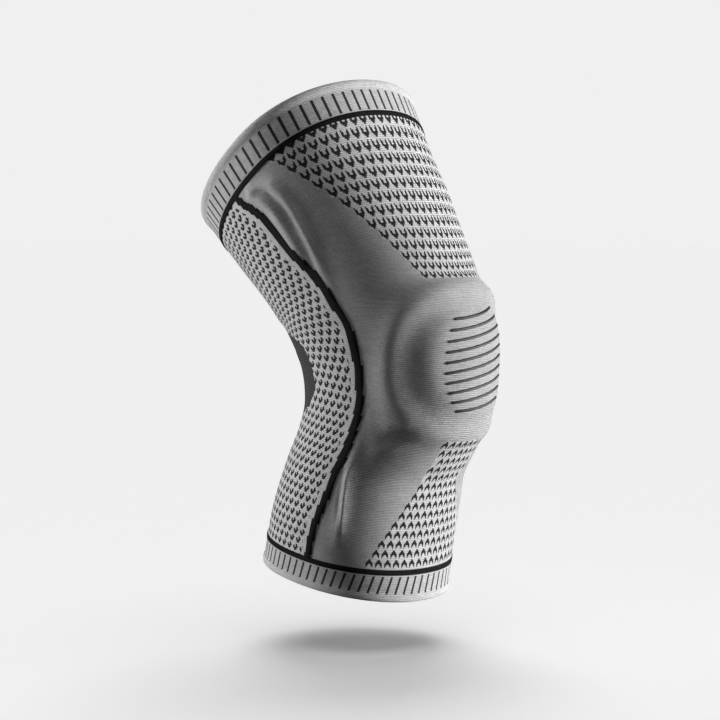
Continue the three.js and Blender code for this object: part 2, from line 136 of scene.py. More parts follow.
def surface_point(station, angle):
    """The smooth skin of the leg. The angle is in degrees, 0 at the front, to the right."""
    station, angle = np.broadcast_arrays(station, angle)
    share = share_of(station)
    rim = np.where(station < 0, calf_rim_half_width, thigh_rim_half_width)
    half = knee_half_width + (rim - knee_half_width) * np.abs(share)
    turn = np.radians(angle)
    across = squared_off(np.sin(turn), section_squareness) * half * side_share(share)
    depth = np.where(np.cos(turn) > 0, front_share(share), back_share(share))
    forward = squared_off(np.cos(turn), section_squareness) * half * depth
    tilt = turn_at(station, calf_row_tilt, thigh_row_tilt, fan_reach)
    y = np.interp(station, centre_stations, centre_y) - forward * np.cos(tilt)
    z = np.interp(station, centre_stations, centre_z) + forward * np.sin(tilt)
    return np.stack([-across, y, z], axis=-1)


nearby = 0.001
one_degree = 1.0


def skin_frame(station, angle):
    """The directions round the leg, per degree, and out of it."""
    upward = surface_point(station + nearby, angle) - surface_point(station - nearby, angle)
    around = surface_point(station, angle + one_degree) - surface_point(station, angle - one_degree)
    outward = np.cross(upward, around)
    outward /= np.linalg.norm(outward, axis=-1, keepdims=True)
    return around / 2, outward


def degrees_for(length, station, angle):
    return length / np.linalg.norm(skin_frame(station, angle)[0], axis=-1)


# The kneecap's raised ring, the soft dip inside it and the swelling that follows the dip.
kneecap_station = -0.016
ring_half_width = 0.0615
ring_half_height = 0.0435
ring_drop = 0.005
ring_squareness = 2.3
ring_rise = 0.0024
ring_ridge_width = 0.0056
groove_depth = 0.0006
groove_inset = 0.0095
dome_rise = 0.0009
dome_inset = 0.0178
dome_width = 0.007
arc_steps = 8
kneecap_tilt = turn_at(kneecap_station, calf_row_tilt, thigh_row_tilt, fan_reach)
kneecap_up = np.array([0, math.sin(kneecap_tilt), math.cos(kneecap_tilt)])


def kneecap_place(station, angle):
    """How far a place lies round the leg and up from the kneecap's centre."""
    previous = surface_point(station, np.zeros_like(angle))
    length = 0
    for k in range(1, arc_steps + 1):
        following = surface_point(station, angle * k / arc_steps)
        length = length + np.linalg.norm(following - previous, axis=-1)
        previous = following
    up = (previous - surface_point(kneecap_station, 0)) @ kneecap_up
    return np.sign(angle) * length, up


def beyond_ring(across, up):
    wide = np.abs(across / ring_half_width) ** ring_squareness
    high = np.abs((up + ring_drop) / ring_half_height) ** ring_squareness
    size = (wide + high) ** (1 / ring_squareness)
    return (size - 1) * min(ring_half_width, ring_half_height)


def ridge(distance, width):
    return np.exp(-((distance / width) ** 2))


# The ridges of the stay pockets: station share, angle and rise in millimetres.
pocket_ridge_width = 0.0042
upper_pocket_rear = [
    [0.3, 88.5, 0], [0.39, 90, 1.2], [0.5, 90, 1.8], [0.61, 90.5, 2.2], [0.69, 92.5, 2.4],
    [0.77, 95.5, 2.2], [0.81, 96, 0],
]
upper_pocket_front = [
    [0.12, 81, 0], [0.24, 81, 1.2], [0.43, 81.5, 1.9], [0.57, 80.3, 2.2], [0.65, 80.5, 2.2],
    [0.71, 83, 1.8], [0.77, 86, 0],
]
lower_pocket = [
    [-0.82, 66.5, 0], [-0.76, 66.5, 0.9], [-0.69, 66.5, 1.8], [-0.58, 68.5, 1.8],
    [-0.47, 71, 1.4], [-0.37, 73.5, 0.6], [-0.3, 74, 0],
]
pockets = [
    (smooth_curve(rows), smooth_curve(rows, 2))
    for rows in (upper_pocket_rear, upper_pocket_front, lower_pocket)
]


# The pockets' creases, each drawn from its top through places that give the length round the leg
# from the front, the station and the rise, in millimetres, and each with a width. The upper
# pocket is a padded tongue: an outer crest, a stitched groove inside it and an inner crest.
creases = [
    (0.0026, [
        (117, 95.5, 0.4), (109, 98, 1.3), (101, 96.5, 1.6), (94, 91, 1.6), (89.5, 82, 1.5),
        (86.5, 72, 1.3), (85, 59, 1.1), (83.7, 46.5, 0.9), (83, 28, 0),
    ]),
    (0.0017, [
        (106, 96, 0), (100, 92.5, -0.3), (94.5, 84, -0.4), (91, 73, -0.5), (89.5, 61, -0.6),
        (88, 48, -0.7), (86.5, 34, 0),
    ]),
    (0.0045, [
        (108, 93, 1.2), (102, 89, 2.1), (97, 81, 2.4), (95, 71, 2.2), (94, 60, 1.5),
        (93, 50, 0.8), (92, 40, 0),
    ]),
    (0.0014, [(64.5, -72, 0), (64, -80, 0.9), (63.5, -92, 1.1), (63, -104, 0.9), (62.5, -113, 0)]),
    (0.0012, [(67.5, -74, 0), (67, -84, -0.7), (66.5, -98, -0.8), (66, -110, 0)]),
    (0.0022, [(41, -42, 0), (47, -46, 0.7), (54, -47, 0.8), (61, -45, 0)]),
    (0.002, [(38, -48, 0), (45, -53, -0.5), (53, -55, -0.6), (60, -54, 0)]),
    (0.0026, [(40, -55, 0), (46, -59.5, 0.6), (54, -62, 0.5), (60, -62, 0)]),
]


def crease_rise(across, station):
    raised = np.zeros(across.shape)
    for width, corners in creases:
        places = np.array(corners) * 0.001
        nearest = np.full(across.shape, np.inf)
        rise = np.zeros(across.shape)
        for start, end in zip(places, places[1:]):
            way = end[:2] - start[:2]
            along = (across - start[0]) * way[0] + (station - start[1]) * way[1]
            along = np.clip(along / (way @ way), 0, 1)
            apart = np.hypot(across - start[0] - along * way[0], station - start[1] - along * way[1])
            closer = apart < nearest
            rise = np.where(closer, start[2] + along * (end[2] - start[2]), rise)
            nearest = np.minimum(nearest, apart)
        raised = raised + rise * ridge(nearest, width)
    return raised


def signed_angle(angle):
    return np.where(angle > 180, angle - 360, angle)


def relief(station, angle):
    """All that stands out of the skin or dips into it, in metres."""
    turned = signed_angle(angle)
    share = share_of(station)
    raised = np.zeros(np.broadcast(station, angle).shape)
    for angle_at, rise_at in pockets:
        line = angle_at(share)
        away = (np.abs(turned) - line) / degrees_for(1, station, line)
        raised = np.maximum(raised, rise_at(share) * 0.001 * ridge(away, pocket_ridge_width))
    across, up = kneecap_place(station, turned)
    beyond = beyond_ring(across, up)
    ring = ring_rise * ridge(beyond, ring_ridge_width)
    groove = groove_depth * ridge(beyond + groove_inset, ring_ridge_width)
    dome = dome_rise * ridge(beyond + dome_inset, dome_width)
    return raised + ring - groove + dome


def skin_point(station, angle, height, creased=True):
    lift = relief(station, angle) + height
    if creased:
        across = np.abs(kneecap_place(station, signed_angle(angle))[0])
        lift = lift + crease_rise(across, np.broadcast_to(station, across.shape))
    outward = skin_frame(station, angle)[1]
    return surface_point(station, angle) + outward * lift[..., None]


# The stitches: wales run up the leg, all equally wide round it but for a little more stretch
# over the front, and courses run round it. A motif's column is eight wales.
wales_round = 528
half_round = wales_round // 2
front_stretch = 0.026
knee_stretch = -0.016
stretch_reach = 0.09
dense_angles = np.linspace(-180, 180, 721)


def wale_angles(stations, wales):
    """The angle of each wale line, a row for each station."""
    wrapped = (wales + half_round) % wales_round - half_round
    wrapped = np.where((wrapped == -half_round) & (wales > 0), half_round, wrapped)
    share = wrapped / half_round
    rows = []
    for station in stations:
        points = surface_point(station, dense_angles)
        steps = np.linalg.norm(np.diff(points, axis=0), axis=1)
        arc = np.concatenate([[0], np.cumsum(steps)])
        arc = 2 * arc / arc[-1] - 1
        reach = smooth_step(abs(station), 0, stretch_reach)
        stretch = knee_stretch + (front_stretch - knee_stretch) * reach
        rows.append(np.interp(share + stretch * np.sin(np.pi * share), arc, dense_angles))
    return np.array(rows) + (wales - wrapped) / wales_round * 360


# Heights of the courses along the front, and how much further up the leg they run at the side.
course_height_at = smooth_curve([
    [-0.16, 0.00097], [-0.06, 0.00095], [-0.03, 0.00075], [0.012, 0.00054], [0.028, 0.00077],
    [0.045, 0.00096], [0.066, 0.00122], [0.085, 0.00134], [0.14, 0.0012],
])
side_rise_at = smooth_curve([
    [-0.05, 0], [-0.02, 0.008], [0.005, 0.014], [0.028, 0.0175], [0.05, 0.02], [0.066, 0.0235],
    [0.08, 0.02], [0.093, 0.014], [0.1, 0.007], [0.108, 0],
])
first_motif_station = 0.0113
course_counts = np.concatenate([
    [0],
    np.cumsum(centre_step / course_height_at(centre_stations[:-1])),
])
course_counts -= np.interp(first_motif_station, centre_stations, course_counts)
round_back_limit = 1.3


def front_courses(station, wale):
    """The course number of a place, counted up from the first row of the thigh's pattern."""
    turned = 1 - np.cos(np.abs(wale) / half_round * np.pi)
    along = station - side_rise_at(station) * np.minimum(turned, round_back_limit)
    return np.interp(along, centre_stations, course_counts)


seam_gap = 0.00002
knit_sharp_angle = 50


def to_mesh(mesh_shape, name):
    mesh = bpy.data.meshes.new(name)
    mesh_shape.to_mesh(mesh)
    mesh_shape.free()
    return mesh


def open_seam(mesh_shape, column):
    """Deletes the end walls of a piece that closes on itself."""
    ends = [face for face in mesh_shape.faces if len({column(vert) for vert in face.verts}) == 1]
    bmesh.ops.delete(mesh_shape, geom=ends, context="FACES")


def face_outward(mesh_shape):
    """Joins the seam of a closed piece and turns all its faces outward."""
    bmesh.ops.remove_doubles(mesh_shape, verts=mesh_shape.verts, dist=seam_gap)
    bmesh.ops.recalc_face_normals(mesh_shape, faces=mesh_shape.faces)
    if mesh_shape.calc_volume(signed=True) < 0:
        bmesh.ops.reverse_faces(mesh_shape, faces=mesh_shape.faces)


def finish_piece(name, mesh, sharp_angle, material):
    mesh.shade_smooth()
    mesh.set_sharp_from_angle(angle=math.radians(sharp_angle))
    mesh.materials.append(material)
    piece = bpy.data.objects.new(name, mesh)
    scene.collection.objects.link(piece)
    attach(piece, "root")
    return piece


def knit_piece(name, stations, wales, cells, top, bottom, courses, material, margin=None):
    """A wall of knit over the filled cells of a grid, with its stitches counted in its UV map.
    top and bottom are heights over the skin. A full round of wales closes on itself. margin is
    how many wales each corner lies from the piece's edge."""
    columns, rows = len(wales) - 1, len(stations) - 1
    mesh_shape = bmesh.new()
    bmesh.ops.create_grid(mesh_shape, x_segments=columns, y_segments=rows, size=0.5)
    empty = []
    for face in mesh_shape.faces:
        centre = face.calc_center_median()
        if not cells[int((centre.y + 0.5) * rows), int((centre.x + 0.5) * columns)]:
            empty.append(face)
    bmesh.ops.delete(mesh_shape, geom=empty, context="FACES")
    grid_layers = ("row", "column", "outside")
    row_of, column_of, outside = (mesh_shape.verts.layers.int.new(layer) for layer in grid_layers)
    for vert in mesh_shape.verts:
        vert[row_of] = round((vert.co.y + 0.5) * rows)
        vert[column_of] = round((vert.co.x + 0.5) * columns)
    inner_faces = mesh_shape.faces[:]
    grown = bmesh.ops.extrude_face_region(mesh_shape, geom=inner_faces, use_keep_orig=True)
    for part in grown["geom"]:
        if isinstance(part, bmesh.types.BMVert):
            part[outside] = 1
    if columns == wales_round:
        open_seam(mesh_shape, lambda vert: vert[column_of])

    mesh = to_mesh(mesh_shape, name)
    counts = np.zeros((3, len(mesh.vertices)), dtype=np.int32)
    for layer, count in zip(grid_layers, counts):
        mesh.attributes[layer].data.foreach_get("value", count)
        mesh.attributes.remove(mesh.attributes[layer])
    row, column, out = counts
    angles = wale_angles(stations, wales)
    station = np.broadcast_to(stations[:, None], angles.shape)
    shape = angles.shape
    faces_out = skin_point(station, angles, np.broadcast_to(top, shape))
    faces_in = skin_point(station, angles, np.broadcast_to(bottom, shape))
    places = np.where(out[:, None] == 1, faces_out[row, column], faces_in[row, column])
    mesh.vertices.foreach_set("co", places.astype(np.float32).ravel())

    stitches = mesh.uv_layers.new(name="stitches")
    corners = np.zeros(len(mesh.loops), dtype=np.int32)
    mesh.loops.foreach_get("vertex_index", corners)
    course = courses(station, np.broadcast_to(wales, shape))
    counted = np.stack([wales[column[corners]], course[row[corners], column[corners]]], axis=1)
    stitches.data.foreach_set("uv", counted.astype(np.float32).ravel())
    if margin is not None:
        spare = mesh.attributes.new("wales_from_edge", "FLOAT", "POINT")
        spare.data.foreach_set("value", margin[row, column].astype(np.float32))
    placed = bmesh.new()
    placed.from_mesh(mesh)
    face_outward(placed)
    placed.to_mesh(mesh)
    placed.free()
    mesh.update()
    return finish_piece(name, mesh, knit_sharp_angle, material)


# Rows and borders of the tube, as in the solids.
knit_wall = 0.0024
panels_top = 0.10448
panels_bottom = -0.13268
knee_zone_top = 0.0115
knee_zone_bottom = -0.0525
mesh_top = 0.028
mesh_bottom = -0.058
row_step = 0.0022
borders = [panels_bottom, mesh_bottom, knee_zone_bottom, knee_zone_top, mesh_top, panels_top]
row_lines = [np.array([panels_bottom])]
for low, high in zip(borders, borders[1:]):
    steps = math.ceil((high - low) / row_step)
    row_lines.append(low + (high - low) * np.arange(1, steps + 1) / steps)
row_lines = np.concatenate(row_lines)
row_middles = (row_lines[1:] + row_lines[:-1]) / 2

trim_width = 0.0052
trim_path = [
    [-0.88, 88, 0.8], [-0.74, 85, 0.85], [-0.59, 80, 0.9], [-0.45, 78, 1.0], [-0.2, 76.5, 1.0],
    [0.0, 78.5, 1.0], [0.13, 82.5, 1.0], [0.3, 89, 1.0], [0.43, 93.5, 1.0], [0.65, 97.5, 0.95],
    [0.76, 102.5, 0.8], [0.85, 106.5, 0.6],
]
trim_angle_at = smooth_curve(trim_path)
trim_width_at = smooth_curve(trim_path, 2)


def trim_edge(station, side):
    """The angle of the side line's front edge, for side -1, or of its rear edge, for side 1."""
    share = share_of(station)
    middle = trim_angle_at(share)
    border = surface_point(station + nearby, trim_angle_at(share_of(station + nearby)))
    border = border - surface_point(station - nearby, trim_angle_at(share_of(station - nearby)))
    border /= np.linalg.norm(border, axis=-1, keepdims=True)
    around = skin_frame(station, middle)[0]
    square = np.linalg.norm(np.cross(border, around), axis=-1)
    return middle + side * trim_width * trim_width_at(share) / 2 / square


thigh_panel_angle = smooth_curve([
    [0.0, 29.5], [0.18, 44.5], [0.4, 58.5], [0.69, 70.5], [1.0, 81.5],
])
calf_panel_angle = smooth_curve([[0.0, 23], [0.23, 24.5], [0.46, 30], [0.69, 39], [1.0, 53]])


def front_half_angle(station):
    """The half angle of the patterned front panels, and none between them."""
    above = thigh_panel_angle((station - knee_zone_top) / (panels_top - knee_zone_top))
    below = calf_panel_angle((station - knee_zone_bottom) / (panels_bottom - knee_zone_bottom))
    half = np.where(station > knee_zone_top, above, below)
    return np.where((station > knee_zone_bottom) & (station < knee_zone_top), 0, half)


def feed(tree, socket, value):
    if isinstance(value, bpy.types.NodeSocket):
        tree.links.new(value, socket)
    else:
        socket.default_value = value


def calc(tree, operation, *values):
    """A Math node with its inputs linked or set, and its output."""
    node = tree.nodes.new("ShaderNodeMath")
    node.operation = operation
    for socket, value in zip(node.inputs, values):
        feed(tree, socket, value)
    return node.outputs[0]


def node_group(name, inputs, outputs):
    """An empty shader group with float sockets, and its input and output nodes."""
    tree = bpy.data.node_groups.new(name, "ShaderNodeTree")
    for socket in inputs:
        kind = "NodeSocketVector" if socket == "Place" else "NodeSocketFloat"
        tree.interface.new_socket(socket, in_out="INPUT", socket_type=kind)
    for socket in outputs:
        tree.interface.new_socket(socket, in_out="OUTPUT", socket_type="NodeSocketFloat")
    return tree, tree.nodes.new("NodeGroupInput"), tree.nodes.new("NodeGroupOutput")


def random_shade(tree, across, up):
    """A random value for each whole pair of numbers."""
    number = tree.nodes.new("ShaderNodeCombineXYZ")
    tree.links.new(across, number.inputs["X"])
    tree.links.new(up, number.inputs["Y"])
    shade = tree.nodes.new("ShaderNodeTexWhiteNoise")
    shade.noise_dimensions = "2D"
    tree.links.new(number.outputs[0], shade.inputs["Vector"])
    return shade.outputs["Value"]


stitches_in_run = 7.0


def stitch_group():
    """Plain knit stitches: each is a V of two legs. It puts out the stitch's wale and course, the
    height of the yarn, and shades for each stitch and for each short run of a course."""
    outputs = ["Wale", "Course", "Height", "Shade", "Streak"]
    tree, start, end = node_group("knit_stitch", ["Place", "Slant"], outputs)
    place = tree.nodes.new("ShaderNodeSeparateXYZ")
    tree.links.new(start.outputs["Place"], place.inputs[0])
    wale = calc(tree, "FLOOR", place.outputs["X"])
    across = calc(tree, "SUBTRACT", place.outputs["X"], wale)
    from_middle = calc(tree, "ABSOLUTE", calc(tree, "MULTIPLY_ADD", across, 2.0, -1.0))
    slanted = calc(tree, "MULTIPLY", from_middle, start.outputs["Slant"])
    level = calc(tree, "SUBTRACT", place.outputs["Y"], slanted)
    course = calc(tree, "FLOOR", level)
    up = calc(tree, "MULTIPLY_ADD", calc(tree, "SUBTRACT", level, course), 2.0, -1.0)
    leg = calc(tree, "MULTIPLY_ADD", from_middle, 2.0, -1.0)
    round_up = calc(tree, "SUBTRACT", 1.0, calc(tree, "MULTIPLY", up, up))
    round_leg = calc(tree, "SUBTRACT", 1.0, calc(tree, "MULTIPLY", leg, leg))
    height = calc(tree, "MULTIPLY_ADD", round_leg, 0.3, calc(tree, "MULTIPLY", round_up, 0.7))
    shade = random_shade(tree, wale, course)
    run = calc(tree, "FLOOR", calc(tree, "DIVIDE", wale, stitches_in_run))
    streak = random_shade(tree, run, course)
    for name, value in zip(outputs, (wale, course, height, shade, streak)):
        tree.links.new(value, end.inputs[name])
    return tree


def chart_group(name, chart, drop, start_at):
    """A knitting chart, top course first, repeated round the leg from a first wale. Each motif
    stands the drop, in wales, to the right of the one under it. It puts out 1 for a black
    stitch, the motif's row and its middle wale."""
    outputs = ["Black", "Motif row", "Middle wale"]
    tree, start, end = node_group(name, ["Wale", "Course"], outputs)
    width, height = len(chart[0]), len(chart)
    motif = calc(tree, "FLOOR", calc(tree, "DIVIDE", start.outputs["Course"], height))
    row = calc(tree, "MULTIPLY_ADD", motif, -height, start.outputs["Course"])
    shift = calc(tree, "CEIL", calc(tree, "MULTIPLY_ADD", motif, drop, start_at))
    moved = calc(tree, "SUBTRACT", start.outputs["Wale"], shift)
    repeat = calc(tree, "FLOOR", calc(tree, "DIVIDE", moved, width))
    column = calc(tree, "MULTIPLY_ADD", repeat, -width, moved)
    bits = calc(tree, "MULTIPLY", row, 0.0)
    for number, stitches in enumerate(reversed(chart)):
        code = sum(2**place for place, stitch in enumerate(stitches) if stitch == "#")
        here = calc(tree, "COMPARE", row, number, 0.5)
        bits = calc(tree, "MULTIPLY_ADD", here, code, bits)
    picked = calc(tree, "FLOOR", calc(tree, "DIVIDE", bits, calc(tree, "POWER", 2.0, column)))
    half = calc(tree, "FLOOR", calc(tree, "DIVIDE", picked, 2.0))
    black = calc(tree, "MULTIPLY_ADD", half, -2.0, picked)
    start_wale = calc(tree, "SUBTRACT", start.outputs["Wale"], column)
    middle = calc(tree, "ADD", start_wale, (width - 1) / 2)
    for name, value in zip(outputs, (black, motif, middle)):
        tree.links.new(value, end.inputs[name])
    return tree


knit_stitch = stitch_group()
thigh_chart = chart_group("thigh_chart", [
    "........",
    "#....#..",
    "##..##..",
    "##..##..",
    "######..",
    ".####...",
    "..##....",
], -3.5, 2.7)
calf_chart = chart_group("calf_chart", [
    "...##...",
    "..####..",
    ".######.",
    ".##..##.",
    ".#....#.",
    "........",
], 3.5, 0.5)

pale_yarn = (0.42, 0.42, 0.424)
plain_yarn = (0.29, 0.29, 0.293)
black_yarn = (0.008, 0.008, 0.0085)


def new_material(name):
    material = bpy.data.materials.new(name)
    material.use_nodes = True
    return material, material.node_tree, material.node_tree.nodes["Principled BSDF"]


def knit_shader(name, roughness, sheen):
    """A material with its knit stitches laid out on the stitch map, ready for its colours."""
    material, tree, shader = new_material(name)
    shader.inputs["Roughness"].default_value = roughness
    shader.inputs["Sheen Weight"].default_value = sheen
    shader.inputs["Sheen Roughness"].default_value = 0.5
    shader.inputs["Specular IOR Level"].default_value = 0.12
    place = tree.nodes.new("ShaderNodeUVMap")
    place.uv_map = "stitches"
    stitch = tree.nodes.new("ShaderNodeGroup")
    stitch.node_tree = knit_stitch
    stitch.inputs["Slant"].default_value = 0.45
    tree.links.new(place.outputs["UV"], stitch.inputs["Place"])
    return material, tree, shader, stitch


def mix_colour(tree, factor, low, high, blend="MIX"):
    node = tree.nodes.new("ShaderNodeMix")
    node.data_type = "RGBA"
    node.blend_type = blend
    feed(tree, node.inputs["Factor"], factor)
    for socket, value in zip([s for s in node.inputs if s.type == "RGBA"], (low, high)):
        feed(tree, socket, (*value, 1) if isinstance(value, tuple) else value)
    return [s for s in node.outputs if s.type == "RGBA"][0]


def add_relief(tree, shader, height, depth):
    bump = tree.nodes.new("ShaderNodeBump")
    bump.inputs["Distance"].default_value = depth
    tree.links.new(height, bump.inputs["Height"])
    tree.links.new(bump.outputs["Normal"], shader.inputs["Normal"])


stitch_difference = 0.2
run_difference = 0.12
darkest_stitch = 0.84
# Painted light and shade on each stitch: the yarn's crowns are painted lighter and the gaps between
# its legs darker, by the yarn's height.
crown_light = 1.06
middle_height = 0.7


def finish_knit(tree, shader, stitch, colour, relief_height, gap_shade_strength):
    """The yarn's colour with painted shade in the gaps between its legs and painted light on
    their crowns, a little different in each stitch, and its relief."""
    shade = stitch.outputs["Shade"]
    shade = calc(tree, "MULTIPLY_ADD", shade, stitch_difference, darkest_stitch)
    shade = calc(tree, "MULTIPLY_ADD", stitch.outputs["Streak"], run_difference, shade)
    # Painted shade in the gaps and painted light on the crowns, scaled by the yarn's height.
    gap_light = crown_light - gap_shade_strength * middle_height
    lit = calc(tree, "MULTIPLY_ADD", stitch.outputs["Height"], gap_shade_strength, gap_light)
    colour = mix_colour(tree, 1, colour, calc(tree, "MULTIPLY", shade, lit), "MULTIPLY")
    tree.links.new(colour, shader.inputs["Base Color"])
    add_relief(tree, shader, stitch.outputs["Height"], relief_height)


def place_chart(tree, chart, wale, course):
    node = tree.nodes.new("ShaderNodeGroup")
    node.node_tree = chart
    tree.links.new(wale, node.inputs["Wale"])
    tree.links.new(course, node.inputs["Course"])
    return node


# The thigh's pattern widens by four and a half wales a motif going up, and the shin's going
# down. A motif is knitted only where its middle lies inside.
motif_rows = 14
thigh_pattern_half = 41
calf_pattern_half = 62.5
narrowest_half = 26.5
pattern_slope = 4.5
calf_rows_start = round(float(np.interp(-0.1322, centre_stations, course_counts)))


def pattern_zone(tree, chart, wale, limit):
    """1 where a stitch is inside the pattern's rows, and its wale inside the limit."""
    row = chart.outputs["Motif row"]
    inside = calc(tree, "LESS_THAN", calc(tree, "ABSOLUTE", wale), limit)
    above = calc(tree, "GREATER_THAN", row, -0.5)
    below = calc(tree, "LESS_THAN", row, motif_rows - 0.5)
    return calc(tree, "MULTIPLY", inside, calc(tree, "MULTIPLY", above, below))


def front_knit_material():
    """Plain grey knit with the two patterned fields over the thigh and the shin."""
    material, tree, shader, stitch = knit_shader("front_knit", 0.9, 0.04)
    wale, course = stitch.outputs["Wale"], stitch.outputs["Course"]
    thigh = place_chart(tree, thigh_chart, wale, course)
    from_calf = calc(tree, "SUBTRACT", course, calf_rows_start)
    calf = place_chart(tree, calf_chart, wale, from_calf)
    row = thigh.outputs["Motif row"]
    thigh_limit = calc(tree, "MULTIPLY_ADD", row, pattern_slope, thigh_pattern_half)
    row = calf.outputs["Motif row"]
    calf_limit = calc(tree, "MULTIPLY_ADD", row, -pattern_slope, calf_pattern_half)
    calf_limit = calc(tree, "MAXIMUM", calf_limit, narrowest_half)
    black = calc(tree, "MULTIPLY", stitch.outputs["Shade"], 0.0)
    zone = black
    for chart, limit in ((thigh, thigh_limit), (calf, calf_limit)):
        motifs = pattern_zone(tree, chart, chart.outputs["Middle wale"], limit)
        motifs = calc(tree, "MULTIPLY", motifs, chart.outputs["Black"])
        black = calc(tree, "MAXIMUM", black, motifs)
        zone = calc(tree, "MAXIMUM", zone, pattern_zone(tree, chart, wale, limit))
    ground = mix_colour(tree, zone, plain_yarn, pale_yarn)
    finish_knit(tree, shader, stitch, mix_colour(tree, black, ground, black_yarn), 0.0007, 1.15)
    return material


half_wales = np.arange(half_round + 1)
edge_step = 2
front_reach = 160


def stepped_edge(side):
    """The side line's edge in wales from the front, for each row. It steps two at a time."""
    edges = [
        np.interp(trim_edge(station, side), wale_angles([station], half_wales)[0], half_wales)
        for station in row_middles
    ]
    return np.round(np.array(edges) / edge_step)[:, None] * edge_step


front_knit = front_knit_material()
front_wales = np.arange(-front_reach, front_reach + 1)
front_angles = wale_angles(row_middles, front_wales[:-1] + 0.5)
front_edge = stepped_edge(-1)
panel_half = front_half_angle(row_middles)[:, None]
on_front = np.abs(front_angles) < panel_half
knee_cells = (np.abs(front_wales[:-1] + 0.5) < front_edge) & ~on_front
knee_panel = knit_piece(
    "knee_panel_knit", row_lines, front_wales, knee_cells, 0, -knit_wall, front_courses, front_knit
)
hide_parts("knee_panel")

# The two patterned front panels, over the thigh and over the shin, knitted in one with the knee
# panel in pale and black yarn: rows of small cups on the thigh and of arrowheads on the shin.
for name, rows, flat, area in (
    ("thigh_front", row_middles > knee_zone_top, (0.185, 0.093), 0.0125),
    ("calf_front", row_middles < knee_zone_bottom, (0.1, 0.08), 0.0054),
):
    panel = knit_piece(
        name + "_knit", row_lines, front_wales, on_front & rows[:, None], 0, -knit_wall,
        front_courses, front_knit,
    )
    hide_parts(name + "_panel")

# The back panel runs round the back from side line to side line, in pale knit with small dark
# hooks, and is open behind the knee.
back_chart = chart_group("back_chart", [
    ".##.....",
    "###.##..",
    ".#####..",
    "..###...",
    "........",
], -3.5, 0.0)
back_course_height = 0.00104
back_rise_at = smooth_curve([
    [-0.05, 0], [-0.02, 0.008], [0.005, 0.014], [0.028, 0.017], [0.066, 0.015], [0.09, 0.006],
    [0.108, 0],
])
plain_margin = 4.5


def back_courses(station, wale):
    turned = -np.cos(np.abs(wale) / half_round * np.pi)
    along = station - back_rise_at(station) * turned
    return (along - panels_bottom) / back_course_height


def back_knit_material():
    material, tree, shader, stitch = knit_shader("back_knit", 0.9, 0.04)
    chart = place_chart(tree, back_chart, stitch.outputs["Wale"], stitch.outputs["Course"])
    margin = tree.nodes.new("ShaderNodeAttribute")
    margin.attribute_name = "wales_from_edge"
    clear = calc(tree, "GREATER_THAN", margin.outputs["Fac"], plain_margin)
    black = calc(tree, "MULTIPLY", clear, chart.outputs["Black"])
    colour = mix_colour(tree, black, pale_yarn, black_yarn)
    finish_knit(tree, shader, stitch, colour, 0.0006, 1.0)
    return material


back_reach = 96
back_wales = np.arange(back_reach, wales_round - back_reach + 1)
back_angles = wale_angles(row_middles, back_wales[:-1] + 0.5)
from_front = np.minimum(back_angles, 360 - back_angles)
rear_edge = stepped_edge(1)
mesh_angle_at = smooth_curve([
    [0.0, 40], [0.08, 53], [0.17, 64], [0.3, 71], [0.58, 67], [0.86, 48], [1.0, 32],
])
mesh_half = mesh_angle_at((row_middles - mesh_bottom) / (mesh_top - mesh_bottom))[:, None]
mesh_rows = ((row_middles > mesh_bottom) & (row_middles < mesh_top))[:, None]
mesh_cells = mesh_rows & (180 - from_front < mesh_half)
wales_round_back = np.minimum(back_wales[:-1] + 0.5, wales_round - back_wales[:-1] - 0.5)
back_cells = (wales_round_back > rear_edge) & ~mesh_cells
side_wales = np.interp(row_lines, row_middles, rear_edge[:, 0])
from_side = np.minimum(back_wales, wales_round - back_wales) - side_wales[:, None]
back_panel = knit_piece(
    "back_panel_knit", row_lines, back_wales, back_cells, 0, -knit_wall, back_courses,
    back_knit_material(), margin=from_side,
)
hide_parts("back_panel")

# The thin black mesh behind the knee is knitted open, with a small hole between every four
# stitches, and joins the back panel along its curved edge. The holes are not cut: each is
# painted shade, a darker spot of colour where the dark inside would show through.
mesh_wall = 0.0016
hole_pitch = 2.0
hole_half = 0.27
mesh_yarn = (0.028, 0.028, 0.03)
hole_painted_shade = (0.006, 0.006, 0.006)


def stitch_place(tree):
    """The place on the stitch map, split into wale and course."""
    spot = tree.nodes.new("ShaderNodeSeparateXYZ")
    tree.links.new(tree.nodes["UV Map"].outputs["UV"], spot.inputs[0])
    return spot


def mesh_material():
    material, tree, shader, stitch = knit_shader("open_mesh", 0.85, 0.03)
    spot = stitch_place(tree)
    row = calc(tree, "FLOOR", calc(tree, "DIVIDE", spot.outputs["Y"], hole_pitch))
    offset = calc(tree, "MULTIPLY_ADD", row, hole_pitch / 2, spot.outputs["X"])
    across = calc(tree, "PINGPONG", offset, hole_pitch / 2)
    along = calc(tree, "PINGPONG", spot.outputs["Y"], hole_pitch / 2)
    corner = calc(tree, "MINIMUM", across, along)
    # Painted shade: the yarn is darker where a hole would let the shaded inside show through.
    hole = calc(tree, "GREATER_THAN", corner, hole_pitch * (0.5 - hole_half))
    colour = mix_colour(tree, hole, mesh_yarn, hole_painted_shade)
    finish_knit(tree, shader, stitch, colour, 0.0003, 0.4)
    return material


mesh_panel = knit_piece(
    "popliteal_mesh_knit", row_lines, back_wales, mesh_cells, 0, -mesh_wall, back_courses,
    mesh_material(),
)
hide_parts("popliteal_panel")

# The raised black line down each side is knitted between the knee panel and the back panel. Its
# edges step over by a stitch at a time, and it is highest along its middle.
trim_rise = 0.001
trim_edge_rise = 0.45
trim_reach = 192
trim_yarn = (0.003, 0.003, 0.0033)
trim_yarn_lit = (0.007, 0.007, 0.0075)


def black_knit_material():
    material, tree, shader, stitch = knit_shader("black_knit_yarn", 0.85, 0.0)
    shader.inputs["Specular IOR Level"].default_value = 0.05
    colour = mix_colour(tree, stitch.outputs["Shade"], trim_yarn, trim_yarn_lit)
    finish_knit(tree, shader, stitch, colour, 0.00035, 0.4)
    return material


